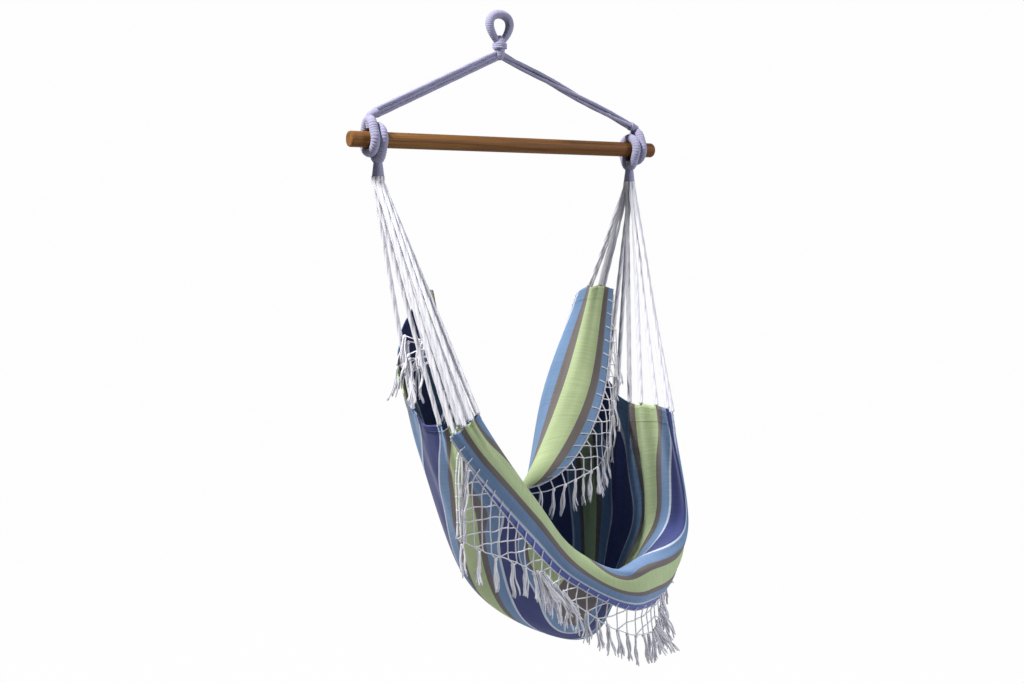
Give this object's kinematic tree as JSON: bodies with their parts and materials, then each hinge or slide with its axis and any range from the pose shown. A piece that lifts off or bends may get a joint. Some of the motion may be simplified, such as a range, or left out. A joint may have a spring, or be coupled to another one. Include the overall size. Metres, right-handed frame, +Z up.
{
  "type": "hammock chair",
  "caption": "Hammock chair: striped cotton seat with netted, tasselled fringes, hung by white cords from a wooden spreader bar on served rope eyes and one hanging loop",
  "frame": {"origin": "inside crown of the hanging loop, the place that bears on a hook", "axes": "+Z up, +X along the spreader bar to the sitter's left, -Y the way the sitter faces"},
  "size_m": [0.9351, 0.476, 1.6933],
  "materials": {
    "hardwood": "oiled, turned",
    "served_rope": "cotton rope served with thin cord, lavender grey",
    "hanger_rope": "twisted cotton rope, lavender grey",
    "white_cotton": "twisted cotton cord, undyed white",
    "striped_canvas": "woven cotton canvas striped in green, greys, blues and white"
  },
  "bodies": {
    "hanger": {"hanging_loop": "served_rope", "neck_wrap": "served_rope", "hanger_eye_left": "served_rope", "hanger_eye_right": "served_rope", "hanger_rope_left_1": "hanger_rope", "hanger_rope_left_2": "hanger_rope", "hanger_rope_left_3": "hanger_rope", "hanger_rope_right_1": "hanger_rope", "hanger_rope_right_2": "hanger_rope", "hanger_rope_right_3": "hanger_rope"},
    "bar": {"spreader_bar": "hardwood"},
    "seat": {"seat_eye_left": "served_rope", "seat_eye_right": "served_rope", "seat_cord_left_01": "white_cotton", "seat_cord_left_02": "white_cotton", "seat_cord_left_03": "white_cotton", "seat_cord_left_04": "white_cotton", "seat_cord_left_05": "white_cotton", "seat_cord_left_06": "white_cotton", "seat_cord_left_07": "white_cotton", "seat_cord_left_08": "white_cotton", "seat_cord_left_09": "white_cotton", "seat_cord_left_10": "white_cotton", "seat_cord_left_11": "white_cotton", "seat_cord_left_12": "white_cotton", "seat_cord_right_01": "white_cotton", "seat_cord_right_02": "white_cotton", "seat_cord_right_03": "white_cotton", "seat_cord_right_04": "white_cotton", "seat_cord_right_05": "white_cotton", "seat_cord_right_06": "white_cotton", "seat_cord_right_07": "white_cotton", "seat_cord_right_08": "white_cotton", "seat_cord_right_09": "white_cotton", "seat_cord_right_10": "white_cotton", "seat_cord_right_11": "white_cotton", "seat_cord_right_12": "white_cotton", "seat_cloth": "striped_canvas", "front_net": "white_cotton", "rear_net": "white_cotton"}
  },
  "joints": [
    {"name": "bar_roll", "type": "hinge", "parent": "hanger", "child": "bar", "pos_m": [0.036, 0, -0.309], "axis": [1, 0, 0], "continuous": true},
    {"name": "seat_swing", "type": "hinge", "parent": "hanger", "child": "seat", "pos_m": [0.036, 0, -0.309], "axis": [1, 0, 0], "range_deg": [-25, 25]}
  ]
}
